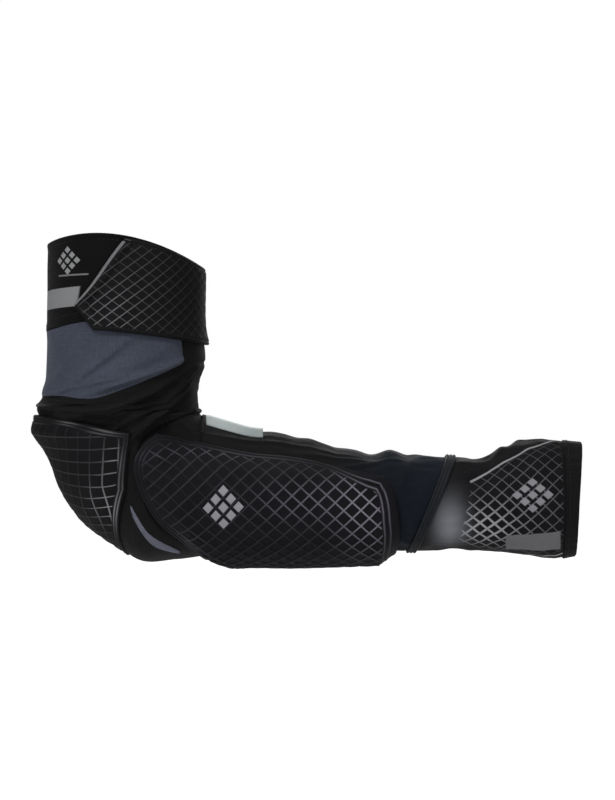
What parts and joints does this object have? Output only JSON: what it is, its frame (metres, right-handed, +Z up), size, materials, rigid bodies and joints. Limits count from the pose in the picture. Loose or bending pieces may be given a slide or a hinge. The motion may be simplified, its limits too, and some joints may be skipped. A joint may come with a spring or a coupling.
{
  "type": "elbow and forearm guard sleeve",
  "caption": "Bent padded sleeve for elbow and forearm: strapped upper cuff, moulded foam elbow and forearm pads, flatlock wrist seam, printed wrist cuff.",
  "frame": {"origin": "centre of the wearer's elbow inside the sleeve, where the arm holds it up", "axes": "+Z up along the upper arm, +X along the forearm towards the hand, -Y the near side with the long pad's face"},
  "size_m": [0.3296, 0.0993, 0.1972],
  "materials": {
    "cuff_elastic": "black knitted elastic, matt",
    "strap_webbing": "black strap embossed with fine raised diamonds",
    "slate_mesh": "slate grey fine mesh, soft sheen",
    "black_stretch": "black stretch knit, faint sheen",
    "moulded_foam": "black moulded foam, raised grey-violet ribs",
    "label_satin": "white satin tag",
    "seam_thread": "dark flatlock thread",
    "printed_stretch": "black knit with printed silver-grey diamonds"
  },
  "bodies": {
    "root": {"upper_cuff": "cuff_elastic", "upper_strap": "strap_webbing", "upper_panel": "slate_mesh", "front_panel": "black_stretch", "elbow_sleeve": "black_stretch", "gusset_near": "slate_mesh", "gusset_far": "slate_mesh", "elbow_pad": "moulded_foam", "forearm_sleeve": "black_stretch", "forearm_pad": "moulded_foam", "care_label": "label_satin", "wrist_seam": "seam_thread", "wrist_cuff": "printed_stretch", "wrist_hem": "cuff_elastic"}
  },
  "joints": []
}
